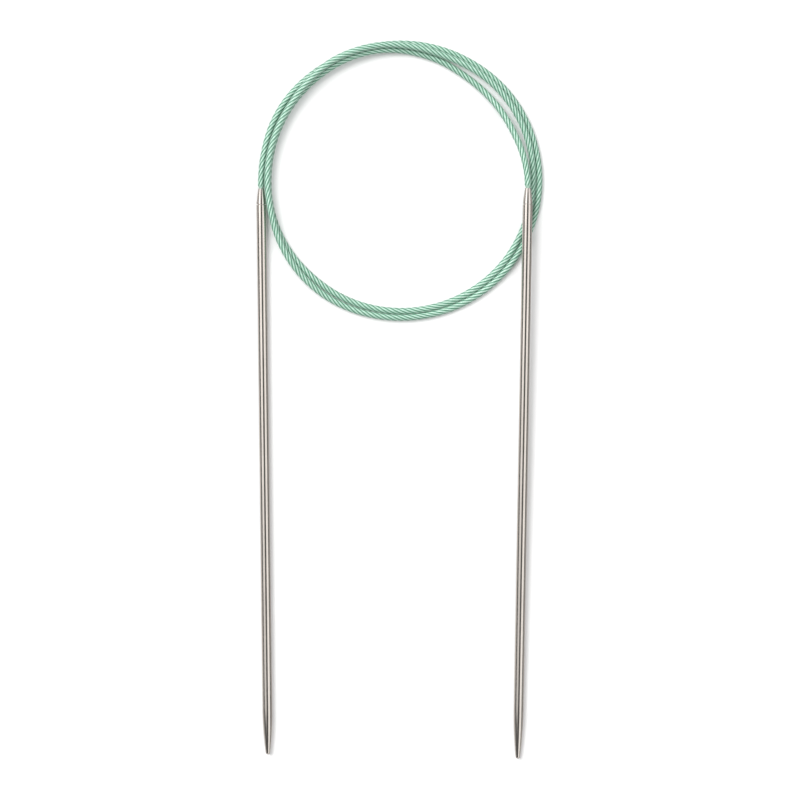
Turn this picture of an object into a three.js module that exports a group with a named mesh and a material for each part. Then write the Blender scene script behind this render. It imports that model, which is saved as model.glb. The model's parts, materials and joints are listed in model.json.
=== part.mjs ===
// Circular knitting needle: two steel needles joined by a coated wire-rope cable that lies in two and a
// half turns. Millimetres, +Z up. The origin is under the middle of the two needles, on the table.
import * as THREE from 'three';

// Needles
const SHANK_RADIUS = 1.125;
const NEEDLE_SIDES = 16;
const COLLAR_LENGTH = 3.6;
const NOSE_RADIUS = 0.5;
const NOSE_LENGTH = 0.45;

// The join between a needle and the cable, all on the needle's axis
const MOUTH_OUTER_RADIUS = 0.71;
const MOUTH_RIM_LENGTH = 0.3;
const COLLAR_BORE_RADIUS = 0.58;
const SPIGOT_RADIUS = 0.78;
const SPIGOT_LENGTH = 4.0;
const SOCKET_RADIUS = 0.83;
const SOCKET_LENGTH = 13.0;
const SEAM_GAP = 0.1;
const STOP_RADIUS = 0.7;
const STOP_LENGTH = 4.0;
const STOP_CLEARANCE = 0.3;
const CORE_RADIUS = 0.46;
const STOP_BORE_RADIUS = 0.52;
const CORE_END_LENGTH = 12.0;

// Cable
const CABLE_SIDES = 8;
const JACKET_RADIUS = 0.72;
const JACKET_BORE_RADIUS = 0.55;
const FACE_GAP = 0.3;
const COIL_CENTRE = new THREE.Vector2(1.45, 66.5);
const STATION_STEP = 12;
const COIL_ANGLE = 900;

// Where each needle lies: the centre of its mouth, how far it leans and dips towards its tip (degrees),
// its whole length, and the length of its ground point.
const NEEDLES = {
  left: { mouth: [-30.31, 64.87, SHANK_RADIUS], lean: 0.69, dip: 0, length: 128.8, point: 10.2 },
  right: { mouth: [30.34, 64.87, 3.3], lean: -1.0, dip: 1.05, length: 129.8, point: 11.3 },
};

// The cable's course: [degrees clockwise from the left mouth, distance from the coil's centre, height].
const COIL_COURSE = [
  // first turn: out of the left needle, outermost over the top and down the right, then up on the stack
  [0, 31.75, 1.125], [12, 31.75, 1.08], [24, 31.95, 0.95], [36, 31.95, 0.8], [48, 31.7, 0.75],
  [60, 31.45, 0.75], [90, 31.4, 0.75], [120, 31.45, 0.75], [140, 31.65, 0.75], [168, 31.6, 0.75],
  [192, 31.5, 0.75], [216, 31.37, 0.75], [240, 31.17, 0.75], [270, 31.01, 0.75], [300, 31.2, 0.75],
  [312, 31.15, 1.2], [324, 30.95, 1.85], [336, 30.65, 2.15], [348, 30.3, 2.26], [360, 30.3, 2.27],
  // second turn: over the other two at the top left, then down beside the first along the bottom
  [372, 30.4, 2.27], [396, 30.5, 2.27], [408, 30.95, 2.8], [420, 31.4, 3.0], [432, 31.35, 3.02],
  [444, 31.2, 2.65], [456, 30.68, 2.15], [468, 30.22, 1.82], [480, 30.3, 1.85], [492, 30.5, 1.82],
  [504, 30.55, 1.9], [516, 30.5, 1.85], [528, 30.35, 1.64], [540, 30.05, 1.2], [552, 29.95, 0.8],
  [576, 29.87, 0.75], [600, 29.68, 0.75], [630, 29.52, 0.75], [660, 29.6, 0.75], [672, 29.65, 0.75],
  [684, 29.9, 0.75], [696, 30.1, 0.75], [708, 30.15, 0.75], [720, 30.15, 0.75],
  // last half turn: lowest on the left, inside the others at the right, then up into the right needle
  [732, 30.2, 0.75], [756, 30.35, 0.75], [768, 30.35, 1.4], [780, 30.4, 1.87], [792, 30.35, 1.88],
  [804, 30.12, 1.53], [816, 29.52, 0.85], [828, 28.87, 0.75], [840, 28.15, 0.75], [852, 27.9, 0.95],
  [864, 27.85, 1.65], [876, 27.95, 2.5], [888, 28.45, 3.15], [900, 28.92, 3.33],
];

// Flats of a turned piece stand at its true radius, so that a needle lies on a flat.
const FLAT_TO_CORNER = 1 / Math.cos(Math.PI / NEEDLE_SIDES);

function material(colour, roughness, metalness) {
  return new THREE.MeshStandardMaterial({ color: new THREE.Color(colour), roughness, metalness });
}

// A turned piece on its own Y axis. The outline goes round the section anticlockwise as [radius, y].
function turnedPiece(name, outline, finish) {
  const points = outline.map(([radius, y]) => new THREE.Vector2(radius * FLAT_TO_CORNER, y));
  const mesh = new THREE.Mesh(new THREE.LatheGeometry(points, NEEDLE_SIDES), finish);
  mesh.name = name;
  return mesh;
}

// A steel rod with a socket in its back end and a slightly rounded, tapering point.
function shank(side, length, point) {
  const back = -COLLAR_LENGTH - SEAM_GAP;
  const shoulder = point - length;
  const outline = [
    [0, -length],
    [NOSE_RADIUS * 0.55, -length + NOSE_LENGTH * 0.12],
    [NOSE_RADIUS * 0.9, -length + NOSE_LENGTH * 0.5],
    [NOSE_RADIUS, -length + NOSE_LENGTH],
    [THREE.MathUtils.lerp(NOSE_RADIUS, SHANK_RADIUS, 0.58), shoulder - point * 0.5],
    [SHANK_RADIUS * 0.965, shoulder - point * 0.16],
    [SHANK_RADIUS, shoulder],
    [SHANK_RADIUS, back],
    [SOCKET_RADIUS, back],
    [SOCKET_RADIUS, back - SOCKET_LENGTH],
    [0, back - SOCKET_LENGTH - SOCKET_RADIUS * 0.6],
  ];
  return turnedPiece(`${side}_shank`, outline, material('#b9b6b0', 0.22, 1));
}

// A tapered sleeve: its spigot sits in the shank's socket and its mouth lets the cable in.
function collar(side) {
  const spigotEnd = -COLLAR_LENGTH - SPIGOT_LENGTH;
  const outline = [
    [COLLAR_BORE_RADIUS, spigotEnd],
    [SPIGOT_RADIUS, spigotEnd],
    [SPIGOT_RADIUS, -COLLAR_LENGTH],
    [SHANK_RADIUS, -COLLAR_LENGTH],
    [SHANK_RADIUS * 0.93, -COLLAR_LENGTH * 0.7],
    [MOUTH_OUTER_RADIUS, -MOUTH_RIM_LENGTH],
    [MOUTH_OUTER_RADIUS * 0.96, 0],
    [COLLAR_BORE_RADIUS, 0],
    [COLLAR_BORE_RADIUS, spigotEnd],
  ];
  return turnedPiece(`${side}_collar`, outline, material('#c9c6c0', 0.2, 1));
}

// The bare wire-rope end that runs down the collar's bore.
function coreEnd(side) {
  const outline = [
    [0, -CORE_END_LENGTH],
    [CORE_RADIUS, -CORE_END_LENGTH],
    [CORE_RADIUS, 0],
    [0, 0],
  ];
  return turnedPiece(`${side}_core_end`, outline, material('#8f8f8c', 0.4, 1));
}

// The crimped sleeve that keeps the rope's end captive behind the collar and lets the needle turn.
function cableStop(side) {
  const front = -COLLAR_LENGTH - SPIGOT_LENGTH - STOP_CLEARANCE;
  const outline = [
    [STOP_BORE_RADIUS, front - STOP_LENGTH],
    [STOP_RADIUS, front - STOP_LENGTH],
    [STOP_RADIUS, front],
    [STOP_BORE_RADIUS, front],
    [STOP_BORE_RADIUS, front - STOP_LENGTH],
  ];
  return turnedPiece(`${side}_cable_stop`, outline, material('#a9a49a', 0.35, 1));
}

function needle(side) {
  const { mouth, lean, dip, length, point } = NEEDLES[side];
  const group = new THREE.Group();
  group.position.set(...mouth);
  const flatDown = Math.PI / NEEDLE_SIDES;
  group.rotation.set(THREE.MathUtils.degToRad(dip), flatDown, THREE.MathUtils.degToRad(lean), 'ZXY');
  group.add(shank(side, length, point), collar(side), cableStop(side), coreEnd(side));
  return group;
}

// Radius and height at any angle: a smooth curve through the rows of the course.
function coursePoint(angle) {
  const last = COIL_COURSE.length - 1;
  const found = COIL_COURSE.findIndex((row, i) => i < last && angle <= COIL_COURSE[i + 1][0]);
  const rows = [found - 1, found, found + 1, found + 2].map(
    (i) => COIL_COURSE[THREE.MathUtils.clamp(i, 0, last)]);
  const [before, start, end, after] = rows;
  const span = end[0] - start[0];
  const t = (angle - start[0]) / span;
  const [radius, height] = [1, 2].map((column) => {
    const startSlope = (end[column] - before[column]) / (end[0] - before[0]);
    const endSlope = (after[column] - start[column]) / (after[0] - start[0]);
    return (2 * t ** 3 - 3 * t ** 2 + 1) * start[column] + (t ** 3 - 2 * t ** 2 + t) * span * startSlope
      + (3 * t ** 2 - 2 * t ** 3) * end[column] + (t ** 3 - t ** 2) * span * endSlope;
  });
  const turned = THREE.MathUtils.degToRad(180 - angle);
  return new THREE.Vector3(
    COIL_CENTRE.x + radius * Math.cos(turned), COIL_CENTRE.y + radius * Math.sin(turned), height);
}

// A point on a needle's axis, just outside its mouth.
function outsideMouth(side) {
  const { mouth, lean, dip } = NEEDLES[side];
  const turn = new THREE.Euler(THREE.MathUtils.degToRad(dip), 0, THREE.MathUtils.degToRad(lean), 'ZXY');
  return new THREE.Vector3(0, FACE_GAP, 0).applyEuler(turn).add(new THREE.Vector3(...mouth));
}

// A curve whose steps stand on its own points, so that neighbouring turns keep their spacing.
class StationCurve extends THREE.CatmullRomCurve3 {
  getUtoTmapping(u) {
    return u;
  }
}

function octagon(shapeClass, radius) {
  const corners = [];
  for (let i = 0; i < CABLE_SIDES; i += 1) {
    const angle = (2 * Math.PI * (i + 0.5)) / CABLE_SIDES;
    corners.push(new THREE.Vector2(radius * Math.cos(angle), radius * Math.sin(angle)));
  }
  return new shapeClass(corners);
}

function cablePiece(name, section, route, finish) {
  const settings = { extrudePath: new StationCurve(route), steps: route.length - 1, bevelEnabled: false };
  const mesh = new THREE.Mesh(new THREE.ExtrudeGeometry(section, settings), finish);
  mesh.name = name;
  return mesh;
}

// The nylon jacket, and the wire rope that fills it.
function cable() {
  const route = [outsideMouth('left')];
  for (let angle = 0; angle <= COIL_ANGLE; angle += STATION_STEP) {
    route.push(coursePoint(angle));
  }
  route.push(outsideMouth('right'));
  const jacketSection = octagon(THREE.Shape, JACKET_RADIUS);
  jacketSection.holes.push(octagon(THREE.Path, JACKET_BORE_RADIUS));
  const group = new THREE.Group();
  group.add(
    cablePiece('cable_jacket', jacketSection, route, material('#a9d3ba', 0.35, 0)),
    cablePiece('cable_core', octagon(THREE.Shape, CORE_RADIUS), route, material('#8f8f8c', 0.4, 1)));
  return group;
}

const knittingNeedle = new THREE.Group();
knittingNeedle.add(needle('left'), needle('right'), cable());

export default knittingNeedle;
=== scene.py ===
import json
import math

import bmesh
import bpy
import numpy as np
from mathutils import Matrix, Vector


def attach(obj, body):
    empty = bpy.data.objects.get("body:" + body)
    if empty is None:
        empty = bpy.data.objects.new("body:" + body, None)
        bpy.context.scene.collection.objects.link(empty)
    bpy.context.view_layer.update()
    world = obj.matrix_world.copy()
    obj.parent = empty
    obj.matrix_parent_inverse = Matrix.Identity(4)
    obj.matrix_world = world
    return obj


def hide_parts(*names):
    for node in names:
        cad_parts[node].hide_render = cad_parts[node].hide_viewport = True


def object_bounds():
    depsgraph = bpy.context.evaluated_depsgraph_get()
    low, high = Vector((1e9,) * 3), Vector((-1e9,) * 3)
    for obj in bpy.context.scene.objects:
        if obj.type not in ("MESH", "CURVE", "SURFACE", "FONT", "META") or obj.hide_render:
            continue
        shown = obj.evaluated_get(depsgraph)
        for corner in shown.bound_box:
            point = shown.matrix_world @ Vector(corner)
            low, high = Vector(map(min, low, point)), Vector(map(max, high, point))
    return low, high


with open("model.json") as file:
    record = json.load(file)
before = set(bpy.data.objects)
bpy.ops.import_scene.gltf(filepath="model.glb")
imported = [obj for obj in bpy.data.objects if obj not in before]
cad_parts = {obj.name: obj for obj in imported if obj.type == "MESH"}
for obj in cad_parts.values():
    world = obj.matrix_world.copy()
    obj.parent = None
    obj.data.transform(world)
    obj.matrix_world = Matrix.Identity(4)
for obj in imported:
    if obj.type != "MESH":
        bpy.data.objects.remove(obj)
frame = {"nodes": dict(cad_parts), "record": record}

# A circular knitting needle, lying on a white table and seen from straight above. Metres.
CAD_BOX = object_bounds()
MM = 0.001

# Needles, as turned round their own axis from the mouth (0) to the point
SHANK_RADIUS = 1.125 * MM
COLLAR_LENGTH = 3.6 * MM
SEAM = {
    "left": {"gap": 0.13 * MM, "fillet": 0.04 * MM},
    "right": {"gap": 0.1 * MM, "fillet": 0.015 * MM},
}
MOUTH_OUTER_RADIUS = 0.71 * MM
COLLAR_BORE_RADIUS = 0.58 * MM
SPIGOT_RADIUS = 0.78 * MM
SPIGOT_LENGTH = 4.0 * MM
SOCKET_RADIUS = 0.83 * MM
SOCKET_LENGTH = 13.0 * MM
NOSE_RADIUS = 0.5 * MM
NOSE_LENGTH = 0.45 * MM
POINT_LENGTH = {"left": 10.2 * MM, "right": 11.3 * MM}
STOP_CLEARANCE = 0.3 * MM
STOP_LENGTH = 4.0 * MM
STOP_RADIUS = 0.7 * MM
STOP_BORE_RADIUS = 0.52 * MM
CORE_RADIUS = 0.46 * MM
CORE_END_LENGTH = 12.0 * MM
CORE_GAP = 0.2 * MM
LATHE_SEGMENTS = 72
LATHE_SHARP_ANGLE = 40      # degrees between two faces from which their edge is drawn sharp
CRIMP_BANDS = (0.3, 0.7)    # parts of the stop's length
CRIMP_DEPTH = 0.09          # part of the stop's radius
CRIMP_WIDTH = 0.11
CRIMP_DENTS = 6

# Colour and roughness of each kind of steel part
STEELS = {
    "shank": ((0.74, 0.684, 0.628), 0.17),
    "collar": ((0.77, 0.715, 0.665), 0.15),
    "crimp": ((0.6, 0.58, 0.54), 0.32),
}

# Cable
CABLE_DIAMETER = 1.5 * MM
ROPE_LAY = 8.7 * MM
STRANDS = 6
RING_STEP = 0.3 * MM
RING_POINTS = 72
NECK_STRAIGHT = 0.12 * MM
NECK_LENGTH = 0.65 * MM
NECK_RADIUS = 0.5 * MM
NECK_DEPTH = 0.2 * MM
MOUTH_LEAD = 0.9 * MM       # straight in front of each mouth before the coil's course begins
EASING_PASSES = 30
CABLE_FILL = 0.885          # radius of the filled grooves, as a part of the rope's
BARE_FILL = 0.8
WIRE_RIPPLE = 0.01
ROPE_SHARP_ANGLE = 60
BARE_RING_STEP = 0.12 * MM
COIL_CENTRE = Vector((0.00145, 0.0665))

# The cable's course: (degrees clockwise from the left mouth, distance from the coil's centre, height)
COIL_COURSE = [
    (0, 0.03175, 0.001125), (12, 0.03175, 0.00108), (24, 0.03195, 0.00095), (36, 0.03195, 0.0008),
    (48, 0.0317, 0.00075), (60, 0.03145, 0.00075), (90, 0.0314, 0.00075), (120, 0.03145, 0.00075),
    (140, 0.03165, 0.00075), (168, 0.0316, 0.00075), (192, 0.0315, 0.00075), (216, 0.03137, 0.00075),
    (240, 0.03117, 0.00075), (270, 0.03101, 0.00075), (300, 0.0312, 0.00075), (312, 0.03115, 0.0012),
    (324, 0.03095, 0.00185), (336, 0.03065, 0.00215), (348, 0.0303, 0.00226), (360, 0.0303, 0.00227),
    (372, 0.0304, 0.00227), (396, 0.0305, 0.00227), (408, 0.03095, 0.0028), (420, 0.0314, 0.003),
    (432, 0.03135, 0.00302), (444, 0.0312, 0.00265), (456, 0.03068, 0.00215), (468, 0.03022, 0.00182),
    (480, 0.0303, 0.00185), (492, 0.0305, 0.00182), (504, 0.03055, 0.0019), (516, 0.0305, 0.00185),
    (528, 0.03035, 0.00164), (540, 0.03005, 0.0012), (552, 0.02995, 0.0008), (576, 0.02987, 0.00075),
    (600, 0.02968, 0.00075), (630, 0.02952, 0.00075), (660, 0.0296, 0.00075), (672, 0.02965, 0.00075),
    (684, 0.0299, 0.00075), (696, 0.0301, 0.00075), (708, 0.03015, 0.00075), (720, 0.03015, 0.00075),
    (732, 0.0302, 0.00075), (756, 0.03035, 0.00075), (768, 0.03035, 0.0014), (780, 0.0304, 0.00187),
    (792, 0.03035, 0.00188), (804, 0.03012, 0.00153), (816, 0.02952, 0.00085), (828, 0.02887, 0.00075),
    (840, 0.02815, 0.00075), (852, 0.0279, 0.00095), (864, 0.02785, 0.00165), (876, 0.02795, 0.0025),
    (888, 0.02845, 0.00315), (900, 0.02892, 0.00333),
]


# ---------------------------------------------------------------- the frame's own facts

def joint(name):
    return next(j for j in frame["record"]["behaviour"]["joints"] if j["name"] == name)


def needle_matrix(side):
    """Stands at the centre of the needle's mouth, its Y axis along the needle towards the cable."""
    swivel = joint(f"{side}_swivel")
    along = Vector(swivel["axis"]).normalized()
    across = along.cross(Vector((0, 0, 1))).normalized()
    rise = across.cross(along)
    matrix = Matrix((across, along, rise)).transposed().to_4x4()
    matrix.translation = Vector(swivel["pos_m"])
    return matrix


def needle_length(side):
    """From the mouth to the tip of the CAD shank."""
    to_needle = needle_matrix(side).inverted()
    node = frame["nodes"][f"{side}_shank"]
    return -min((to_needle @ node.matrix_world @ v.co).y for v in node.data.vertices)


# ---------------------------------------------------------------- camera

def add_camera():
    """Straight above, with the needles' points towards the lower edge of the picture."""
    view_width = 0.18225
    distance = 0.95
    aside = 0.15 * MM
    data = bpy.data.cameras.new("camera")
    data.sensor_width = 36
    data.lens = data.sensor_width * distance / view_width
    data.clip_start = 0.01
    data.clip_end = 50
    camera = bpy.data.objects.new("camera", data)
    centre = (CAD_BOX[0] + CAD_BOX[1]) / 2
    camera.location = (centre.x + aside, centre.y, distance)
    bpy.context.collection.objects.link(camera)
    bpy.context.scene.camera = camera


# ---------------------------------------------------------------- mesh helpers

def add_object(name, mesh, matrix=None):
    piece = bpy.data.objects.new(name, mesh)
    if matrix is not None:
        piece.matrix_world = matrix
    bpy.context.collection.objects.link(piece)
    return piece


def smooth(mesh, sharp_degrees):
    mesh.polygons.foreach_set("use_smooth", [True] * len(mesh.polygons))
    mesh.set_sharp_from_angle(angle=math.radians(sharp_degrees))
    mesh.update()


def fillet(before, corner, after, radius, steps=4):
    """Points of a small round in place of an outline's corner."""
    before, corner, after = Vector(before), Vector(corner), Vector(after)
    start = corner + (before - corner).normalized() * radius
    end = corner + (after - corner).normalized() * radius
    points = []
    for i in range(steps + 1):
        t = i / steps
        points.append(tuple(start * (1 - t) ** 2 + corner * 2 * t * (1 - t) + end * t ** 2))
    return points


def rounded(outline, closed):
    """An outline of (radius, y, fillet radius) rows as plain (radius, y) points."""
    points = []
    count = len(outline)
    for i, (radius, y, corner) in enumerate(outline):
        if corner == 0 or (not closed and i in (0, count - 1)):
            points.append((radius, y))
            continue
        before = outline[(i - 1) % count][:2]
        after = outline[(i + 1) % count][:2]
        points.extend(fillet(before, (radius, y), after, corner))
    return points


def lathe(name, outline, matrix, closed=False, dent=None):
    """A turned solid on its own Y axis. dent(angle, y, radius) scales the radius, for crimps."""
    points = rounded(outline, closed)
    mesh = bpy.data.meshes.new(name)
    shape = bmesh.new()
    rings = []
    for radius, y in points:
        if radius < 1e-7:
            rings.append([shape.verts.new((0, y, 0))])
            continue
        ring = []
        for i in range(LATHE_SEGMENTS):
            angle = 2 * math.pi * i / LATHE_SEGMENTS
            r = radius * (dent(angle, y, radius) if dent else 1)
            ring.append(shape.verts.new((r * math.cos(angle), y, r * math.sin(angle))))
        rings.append(ring)
    if closed:
        rings.append(rings[0])
    for first, second in zip(rings, rings[1:]):
        for i in range(LATHE_SEGMENTS):
            k = (i + 1) % LATHE_SEGMENTS
            if len(first) == 1:
                corners = (first[0], second[i], second[k])
            elif len(second) == 1:
                corners = (first[i], second[0], first[k])
            else:
                corners = (first[i], second[i], second[k], first[k])
            shape.faces.new(corners)
    bmesh.ops.recalc_face_normals(shape, faces=shape.faces)
    shape.to_mesh(mesh)
    shape.free()
    smooth(mesh, LATHE_SHARP_ANGLE)
    return add_object(name, mesh, matrix)


# ---------------------------------------------------------------- the cable

def course_point(angle):
    """Place at any angle of the course: a smooth curve through its rows."""
    last = len(COIL_COURSE) - 1
    found = next(i for i in range(last) if angle <= COIL_COURSE[i + 1][0] + 1e-9)
    before, start, end, after = (
        COIL_COURSE[min(max(i, 0), last)] for i in range(found - 1, found + 3)
    )
    span = end[0] - start[0]
    t = (angle - start[0]) / span
    values = []
    for column in (1, 2):
        start_slope = (end[column] - before[column]) / (end[0] - before[0])
        end_slope = (after[column] - start[column]) / (after[0] - start[0])
        values.append(
            (2 * t ** 3 - 3 * t ** 2 + 1) * start[column]
            + (t ** 3 - 2 * t ** 2 + t) * span * start_slope
            + (3 * t ** 2 - 2 * t ** 3) * end[column]
            + (t ** 3 - t ** 2) * span * end_slope
        )
    radius = values[0]
    height = max(values[1], CABLE_DIAMETER / 2)
    turned = math.radians(180 - angle)
    return Vector((
        COIL_CENTRE.x + radius * math.cos(turned),
        COIL_CENTRE.y + radius * math.sin(turned),
        height,
    ))


def cable_route():
    """Points of the centreline, evenly spaced, from inside one mouth to inside the other."""
    left, right = needle_matrix("left"), needle_matrix("right")
    coarse = [left @ Vector((0, y, 0)) for y in (-NECK_DEPTH, 0, MOUTH_LEAD)]
    coarse += [course_point(angle) for angle in np.arange(2, 899, 2.0)]
    coarse += [right @ Vector((0, y, 0)) for y in (MOUTH_LEAD, 0, -NECK_DEPTH)]
    points = np.array(coarse)
    steps = np.linalg.norm(np.diff(points, axis=0), axis=1)
    reach = np.concatenate([[0], np.cumsum(steps)])
    count = int(round(reach[-1] / RING_STEP))
    even = np.linspace(0, reach[-1], count + 1)
    return np.stack([np.interp(even, reach, points[:, k]) for k in range(3)], axis=1)


def softened(points, passes):
    """The same route with its small corners eased; the ends stay."""
    points = points.copy()
    for _ in range(passes):
        points[1:-1] = 0.25 * points[:-2] + 0.5 * points[1:-1] + 0.25 * points[2:]
    return points


def rope_section(angles, turn, size, fill):
    """Radius, and groove (0 on a crest, 1 between strands), of a rope with partly filled grooves."""
    pitch = 2 * math.pi / STRANDS
    across = (angles - turn + pitch / 2) % pitch - pitch / 2
    centre, strand = size * 2 / 3, size / 3
    inside = np.clip(strand ** 2 - (centre * np.sin(across)) ** 2, 0, None)
    crest = centre * np.cos(across) + np.sqrt(inside)
    floor = size * fill
    blend = size * 0.03
    radius = 0.5 * (crest + floor + np.sqrt((crest - floor) ** 2 + blend ** 2)) - 0.15 * blend
    groove = np.clip((size - crest) / (size * 0.2), 0, 1)
    wires = WIRE_RIPPLE * size * np.cos(across / pitch * 2 * math.pi * 3)
    return radius + wires * (1 - groove), groove


def rope(name, route, size, fill, neck=None):
    """A closed tube along a route whose surface shows the strands of a right-hand laid rope."""
    count = len(route)
    tangents = np.gradient(route, axis=0)
    tangents /= np.linalg.norm(tangents, axis=1)[:, None]
    sides = np.cross(tangents, (0.0, 0.0, 1.0))
    sides /= np.linalg.norm(sides, axis=1)[:, None]
    ups = np.cross(sides, tangents)
    reach = np.concatenate([[0], np.cumsum(np.linalg.norm(np.diff(route, axis=0), axis=1))])
    angles = np.linspace(0, 2 * math.pi, RING_POINTS, endpoint=False)
    verts, grooves, necks = [], [], []
    for i in range(count):
        radius, groove = rope_section(angles, 2 * math.pi * reach[i] / ROPE_LAY, size, fill)
        bare = neck(min(reach[i], reach[-1] - reach[i])) if neck else 0.0
        radius = radius * (1 - bare) + NECK_RADIUS * bare
        ring = route[i] + radius[:, None] * (
            np.cos(angles)[:, None] * ups[i] + np.sin(angles)[:, None] * sides[i])
        verts.append(ring)
        grooves.append(groove * (1 - bare))
        necks.append(np.full(RING_POINTS, bare))
    faces = []
    for i in range(count - 1):
        for k in range(RING_POINTS):
            a = i * RING_POINTS + k
            b = i * RING_POINTS + (k + 1) % RING_POINTS
            faces.append((a, b, b + RING_POINTS, a + RING_POINTS))
    faces.append(tuple(reversed(range(RING_POINTS))))
    faces.append(tuple(range((count - 1) * RING_POINTS, count * RING_POINTS)))
    mesh = bpy.data.meshes.new(name)
    mesh.from_pydata(np.concatenate(verts).tolist(), [], faces)
    for title, values in (("groove", grooves), ("neck", necks)):
        layer = mesh.attributes.new(title, "FLOAT", "POINT")
        layer.data.foreach_set("value", np.concatenate(values).astype(np.float32))
    mesh.validate()
    smooth(mesh, ROPE_SHARP_ANGLE)
    return add_object(name, mesh)


def add_cable():
    route = softened(cable_route(), EASING_PASSES)

    def neck(distance):
        """1 inside the mouth, 0 where the jacket has its full width."""
        t = min(max((distance - NECK_DEPTH - NECK_STRAIGHT) / NECK_LENGTH, 0), 1)
        return 1 - t * t * (3 - 2 * t)

    cable = rope("mint_cable", route, CABLE_DIAMETER / 2, CABLE_FILL, neck)
    cable.data.materials.append(nylon_over_rope())
    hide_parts("cable_jacket", "cable_core")
    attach(cable, "cable")
    return cable


# ---------------------------------------------------------------- materials

class NodeTree:
    """A short way to add and join nodes."""

    def __init__(self, tree):
        self.tree = tree

    def add(self, kind, inputs=None, **settings):
        node = self.tree.nodes.new("ShaderNode" + kind)
        for key, value in settings.items():
            setattr(node, key, value)
        for key, value in (inputs or {}).items():
            self.put(node.inputs[key], value)
        return node

    def put(self, socket, value):
        if isinstance(value, bpy.types.NodeSocket):
            self.tree.links.new(value, socket)
        else:
            socket.default_value = value

    def ranged(self, value, low, high, from_low=0.0, from_high=1.0, **settings):
        made = self.add("MapRange", {
            "Value": value, "From Min": from_low, "From Max": from_high,
            "To Min": low, "To Max": high}, **settings)
        return made.outputs["Result"]

    def maths(self, operation, first, second=0.0):
        return self.add("Math", {0: first, 1: second}, operation=operation).outputs[0]


class MaterialNodes(NodeTree):
    """A new material's nodes, around its own shader."""

    def __init__(self, name):
        self.material = bpy.data.materials.new(name)
        self.material.use_nodes = True
        super().__init__(self.material.node_tree)
        self.shader = self.tree.nodes["Principled BSDF"]

    def noise(self, scale, stretch=(1, 1, 1), detail=3.0, roughness=0.5):
        place = self.add("TexCoord").outputs["Object"]
        mapped = self.add("Mapping", {"Vector": place, "Scale": stretch}).outputs["Vector"]
        made = self.add("TexNoise", {
            "Vector": mapped, "Scale": scale, "Detail": detail, "Roughness": roughness})
        return made.outputs["Fac"]

    def mixed(self, factor, first, second):
        made = self.add("Mix", data_type="RGBA")
        self.put(made.inputs["Factor"], factor)
        self.put(made.inputs["A"], (*first, 1) if isinstance(first, tuple) else first)
        self.put(made.inputs["B"], (*second, 1) if isinstance(second, tuple) else second)
        return made.outputs["Result"]

    def bump(self, height, distance, normal=None):
        made = self.add("Bump", {"Height": height, "Distance": distance, "Strength": 1.0})
        if normal is not None:
            self.put(made.inputs["Normal"], normal)
        return made.outputs["Normal"]


def polished_steel(name, colour, roughness, ground_length=0.0, length=0.0):
    """Stainless steel drawn lengthwise, with fine rings where the point is ground."""
    n = MaterialNodes(name)
    streaks = n.noise(1.0, (26000, 260, 26000), 4.0, 0.6)
    cloud = n.noise(420.0, (1, 0.25, 1), 3.0)
    rough = n.ranged(streaks, roughness * 0.75, roughness * 1.35, 0.3, 0.7)
    shade = n.ranged(cloud, 0.0, 1.0, 0.3, 0.7)
    darker = tuple(c * 0.9 for c in colour)
    n.put(n.shader.inputs["Base Color"], n.mixed(shade, darker, colour))
    n.shader.inputs["Metallic"].default_value = 1.0
    normal = n.bump(streaks, 0.4e-6)
    if ground_length:
        rings = n.noise(1.0, (900, 42000, 900), 2.0)
        along = n.add("SeparateXYZ", {"Vector": n.add("TexCoord").outputs["Object"]}).outputs["Y"]
        ground = -length + ground_length * 0.8
        drawn = -length + ground_length * 1.1
        on_point = n.ranged(along, 1.0, 0.0, ground, drawn)
        rough = n.maths("ADD", rough, n.ranged(on_point, 0.0, -0.04))
        normal = n.bump(n.maths("MULTIPLY", rings, on_point), 0.5e-6, normal)
    n.put(n.shader.inputs["Roughness"], rough)
    n.put(n.shader.inputs["Normal"], normal)
    return n.material


def bare_wire():
    """Bright wire, with painted shade darkening the grooves between its strands."""
    n = MaterialNodes("bare_wire_rope")
    groove = n.add("Attribute", attribute_name="groove").outputs["Fac"]
    # Painted shade: the grooves between the strands are painted dark
    n.put(n.shader.inputs["Base Color"], n.mixed(groove, (0.55, 0.55, 0.53), (0.16, 0.16, 0.15)))
    n.put(n.shader.inputs["Roughness"], n.ranged(n.noise(9000.0), 0.24, 0.42, 0.3, 0.7))
    n.shader.inputs["Metallic"].default_value = 1.0
    return n.material


def nylon_over_rope():
    """Mint nylon drawn tightly over a wire rope: its crests are pale, and painted shade makes its
    grooves a deeper green.
    """
    n = MaterialNodes("mint_nylon_over_rope")
    groove = n.add("Attribute", attribute_name="groove").outputs["Fac"]
    neck = n.add("Attribute", attribute_name="neck").outputs["Fac"]
    cloud = n.noise(1800.0, detail=3.0)
    fine = n.noise(14000.0, detail=2.0)
    crest = n.mixed(n.ranged(cloud, 0.0, 1.0, 0.35, 0.65), (0.38, 0.605, 0.485), (0.5, 0.7, 0.595))
    # Painted shade: the grooves between the strands are painted a dark green, darkest at the bottom of
    # each groove
    depth = n.ranged(groove, 0.0, 1.0, 0.05, 0.87)
    body = n.mixed(depth, crest, (0.034, 0.185, 0.1))
    thinned = n.mixed(n.ranged(neck, 0.0, 0.8), body, (0.3, 0.47, 0.37))
    n.put(n.shader.inputs["Base Color"], thinned)
    n.put(n.shader.inputs["Metallic"], n.ranged(groove, 0.14, 0.08))
    n.put(n.shader.inputs["Roughness"], n.ranged(fine, 0.4, 0.52, 0.3, 0.7))
    n.put(n.shader.inputs["Coat Weight"], n.ranged(groove, 0.8, 0.1, 0.05, 0.65))
    n.shader.inputs["Coat Roughness"].default_value = 0.48
    n.shader.inputs["Coat IOR"].default_value = 1.75
    n.shader.inputs["IOR"].default_value = 1.53
    n.put(n.shader.inputs["Normal"], n.bump(fine, 1.2e-6))
    return n.material


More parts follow.
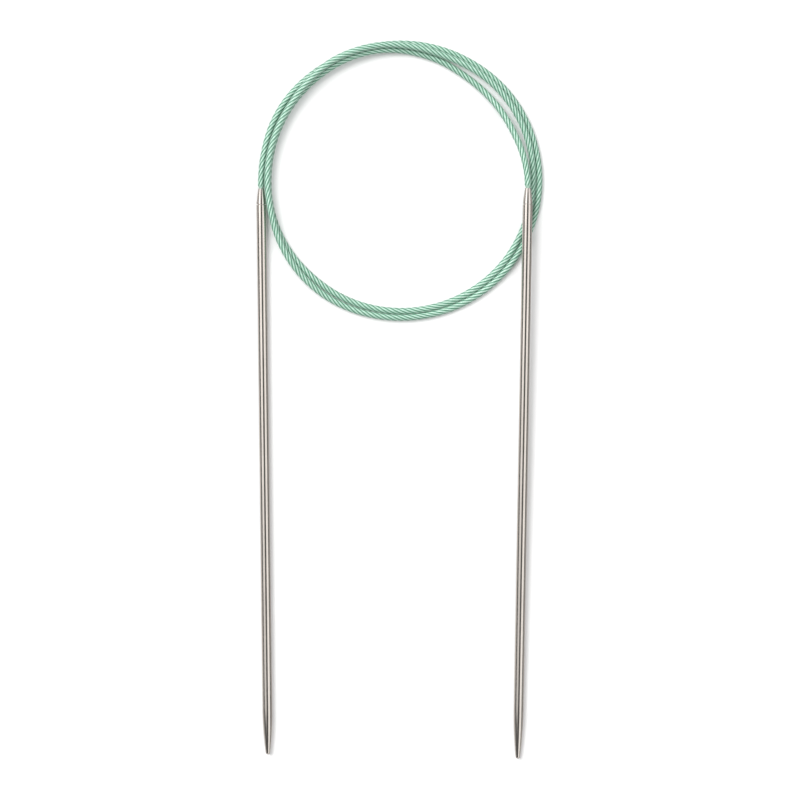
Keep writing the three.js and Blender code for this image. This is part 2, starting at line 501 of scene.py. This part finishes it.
def white_table():
    n = MaterialNodes("white_table")
    darkest, palest = (0.895,) * 3, (0.91,) * 3
    n.put(n.shader.inputs["Base Color"], n.mixed(n.noise(3.0), darkest, palest))
    n.shader.inputs["Roughness"].default_value = 0.9
    n.shader.inputs["Specular IOR Level"].default_value = 0.1
    return n.material


# ---------------------------------------------------------------- needles

def shank_outline(length, point, seam):
    """From the tip up the ground point and the rod to the socket; (radius, y, fillet)."""
    back = -COLLAR_LENGTH - seam["gap"]
    tip = -length
    rows = []
    for i in range(9):
        t = math.radians(90 * i / 8)
        rows.append((NOSE_RADIUS * math.sin(t), tip + NOSE_LENGTH * (1 - math.cos(t)), 0))
    start = tip + NOSE_LENGTH
    shoulder = tip + point
    for i in range(1, 25):
        t = i / 24
        swell = NOSE_RADIUS + (SHANK_RADIUS - NOSE_RADIUS) * math.sin(t * math.pi / 2) ** 0.86
        rows.append((swell, start + (shoulder - start) * t, 0))
    for y in np.linspace(shoulder, back, 24)[1:-1]:
        rows.append((SHANK_RADIUS, y, 0))
    rows += [
        (SHANK_RADIUS, back, seam["fillet"]),
        (SOCKET_RADIUS, back, 0.03 * MM),
        (SOCKET_RADIUS, back - SOCKET_LENGTH, 0),
        (0, back - SOCKET_LENGTH - SOCKET_RADIUS * 0.6, 0),
    ]
    return rows


def collar_outline(seam):
    spigot_end = -COLLAR_LENGTH - SPIGOT_LENGTH
    rows = [
        (COLLAR_BORE_RADIUS, spigot_end, 0.02 * MM),
        (SPIGOT_RADIUS, spigot_end, 0.08 * MM),
        (SPIGOT_RADIUS, -COLLAR_LENGTH, 0),
        (SHANK_RADIUS, -COLLAR_LENGTH, seam["fillet"]),
    ]
    for i in range(1, 13):
        t = i / 12
        swell = SHANK_RADIUS + (MOUTH_OUTER_RADIUS - SHANK_RADIUS) * t ** 1.35
        rows.append((swell, -COLLAR_LENGTH * (1 - 0.94 * t), 0))
    rows += [
        (MOUTH_OUTER_RADIUS, -0.02 * MM, 0.06 * MM),
        (COLLAR_BORE_RADIUS, 0, 0.05 * MM),
    ]
    return rows


def stop_outline():
    front = -COLLAR_LENGTH - SPIGOT_LENGTH - STOP_CLEARANCE
    rear = front - STOP_LENGTH
    rows = [(STOP_BORE_RADIUS, rear, 0.02 * MM), (STOP_RADIUS, rear, 0.08 * MM)]
    rows += [(STOP_RADIUS, y, 0) for y in np.linspace(rear, front, 26)[1:-1]]
    rows += [(STOP_RADIUS, front, 0.08 * MM), (STOP_BORE_RADIUS, front, 0.02 * MM)]
    return rows


def crimp(angle, y, radius):
    """How far two bands of dents draw in the outside of the sleeve; its bore stays round."""
    if radius < STOP_RADIUS * 0.99:
        return 1
    front = -COLLAR_LENGTH - SPIGOT_LENGTH - STOP_CLEARANCE
    place = (front - y) / STOP_LENGTH
    band = max(math.exp(-((place - centre) / CRIMP_WIDTH) ** 2) for centre in CRIMP_BANDS)
    return 1 - CRIMP_DEPTH * band * (0.5 + 0.5 * math.cos(CRIMP_DENTS * angle))


def add_needle(side):
    matrix = needle_matrix(side)
    length = needle_length(side)
    point = POINT_LENGTH[side]
    seam = SEAM[side]

    shank = lathe(f"{side}_needle_shank", shank_outline(length, point, seam), matrix)
    shank.data.materials.append(
        polished_steel(f"{side}_shank_steel", *STEELS["shank"], point, length))
    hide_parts(f"{side}_shank")
    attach(shank, f"{side}_needle")

    collar = lathe(f"{side}_needle_collar", collar_outline(seam), matrix, closed=True)
    collar.data.materials.append(polished_steel(f"{side}_collar_steel", *STEELS["collar"]))
    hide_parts(f"{side}_collar")
    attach(collar, f"{side}_needle")

    stop = lathe(f"{side}_crimped_stop", stop_outline(), matrix, closed=True, dent=crimp)
    stop.data.materials.append(polished_steel(f"{side}_crimp_steel", *STEELS["crimp"]))
    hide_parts(f"{side}_cable_stop")
    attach(stop, f"{side}_cable_end")

    ends = (-NECK_DEPTH - CORE_GAP, -CORE_END_LENGTH)
    count = int(abs(ends[1] - ends[0]) / BARE_RING_STEP)
    route = np.array([tuple(matrix @ Vector((0, y, 0))) for y in np.linspace(*ends, count)])
    bare = rope(f"{side}_bare_rope_end", route, CORE_RADIUS, BARE_FILL)
    bare.data.materials.append(bare_wire())
    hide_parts(f"{side}_core_end")
    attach(bare, f"{side}_cable_end")


# ---------------------------------------------------------------- table and light

def add_table():
    """A wide white table. Reflections leave it out: the light's lower half stands for it there."""
    mesh = bpy.data.meshes.new("table_top")
    half = 6.0
    height = -0.01 * MM
    corners = [(-half, -half), (half, -half), (half, half), (-half, half)]
    mesh.from_pydata([(x, y, height) for x, y in corners], [], [(0, 1, 2, 3)])
    table = add_object("table_top", mesh)
    table.data.materials.append(white_table())
    table.visible_glossy = False
    table.visible_diffuse = False
    return table


# Soft panels of the studio, as seen from the table: the angle from straight up towards +X (negative
# towards -X) and towards +Y, each as (from, to, softness of either edge) in degrees, and how bright
# the panel is.
PANELS = [
    {"across": (-62, -17, 12), "along": (-5, 66, 24), "glow": 1.62},
    {"across": (22, 68, 12), "along": (-50, 50, 12), "glow": 1.12},
]

# What lies round the panels: dim overhead, and bright from 40 to 70 degrees down, behind and in front
DIM_GLOW = 0.1
SIDE_GLOW = 0.9
SIDE_SLOPE = (40, 70)

# Below the horizon, in place of the table: by the ray's own downward and sideways slope
LOW_GLOW = {"horizon": 0.2, "table": 0.85, "shaded": 0.6}
HORIZON_SLOPE = (-0.08, -0.4)
SHADED_SLOPE = (-0.3, 0.6)

# The suns shine on the cable and the table, and the steel mirrors the panels. Spread in degrees.
SUNS = {
    "key": {"towards": (-0.57, 0.45, 1.0), "spread": 42, "strength": 1.95},
    "fill": {"towards": (0.1, 0.0, 1.0), "spread": 110, "strength": 0.62},
}


def studio_glow(n):
    """The brightness of the studio in every direction."""

    def band(angle, limits):
        """1 between the two angles, falling to 0 over the edge."""
        low, high, edge = limits
        half = (high - low) / 2
        middle = (low + high) / 2
        away = n.maths("ABSOLUTE", n.maths("SUBTRACT", angle, math.radians(middle)))
        inner, outer = math.radians(half - edge / 2), math.radians(half + edge / 2)
        return n.ranged(away, 1.0, 0.0, inner, outer, interpolation_type="SMOOTHSTEP")

    direction = n.add("SeparateXYZ", {"Vector": n.add("TexCoord").outputs["Generated"]})
    x, y, z = (direction.outputs[axis] for axis in "XYZ")
    across = n.maths("ARCTAN2", x, z)
    along = n.maths("ARCTAN2", y, z)
    start, end = (math.radians(angle) for angle in SIDE_SLOPE)
    above = n.ranged(
        n.maths("ABSOLUTE", along), DIM_GLOW, SIDE_GLOW, start, end, interpolation_type="SMOOTHSTEP")
    for panel in PANELS:
        inside = n.maths("MULTIPLY", band(across, panel["across"]), band(along, panel["along"]))
        above = n.maths("ADD", above, n.maths("MULTIPLY", inside, panel["glow"]))
    low = n.ranged(z, LOW_GLOW["horizon"], LOW_GLOW["table"], *HORIZON_SLOPE)
    below = n.maths("MULTIPLY", low, n.ranged(x, 1.0, LOW_GLOW["shaded"], *SHADED_SLOPE))
    is_below = n.maths("LESS_THAN", z, 0.0)
    above = n.maths("MULTIPLY", above, n.maths("SUBTRACT", 1.0, is_below))
    return n.maths("ADD", above, n.maths("MULTIPLY", is_below, below))


def add_studio(not_steel):
    world = bpy.data.worlds.new("studio")
    world.use_nodes = True
    n = NodeTree(world.node_tree)
    n.tree.nodes.clear()
    background = n.add("Background", {"Color": studio_glow(n), "Strength": 1.0})
    n.add("OutputWorld", {"Surface": background.outputs[0]})
    bpy.context.scene.world = world
    bpy.context.scene.view_settings.view_transform = "Standard"

    lit = bpy.data.collections.new("lit_by_the_suns")
    for piece in not_steel:
        lit.objects.link(piece)
    for name, facts in SUNS.items():
        sun = bpy.data.lights.new(name, "SUN")
        sun.angle = math.radians(facts["spread"])
        sun.energy = facts["strength"]
        lamp = bpy.data.objects.new(name, sun)
        lamp.rotation_euler = Vector(facts["towards"]).to_track_quat("Z", "Y").to_euler()
        bpy.context.collection.objects.link(lamp)
        lamp.light_linking.receiver_collection = lit


# ---------------------------------------------------------------- the scene

add_camera()
cable = add_cable()
add_needle("left")
add_needle("right")
table = add_table()
add_studio(not_steel=[cable, table])
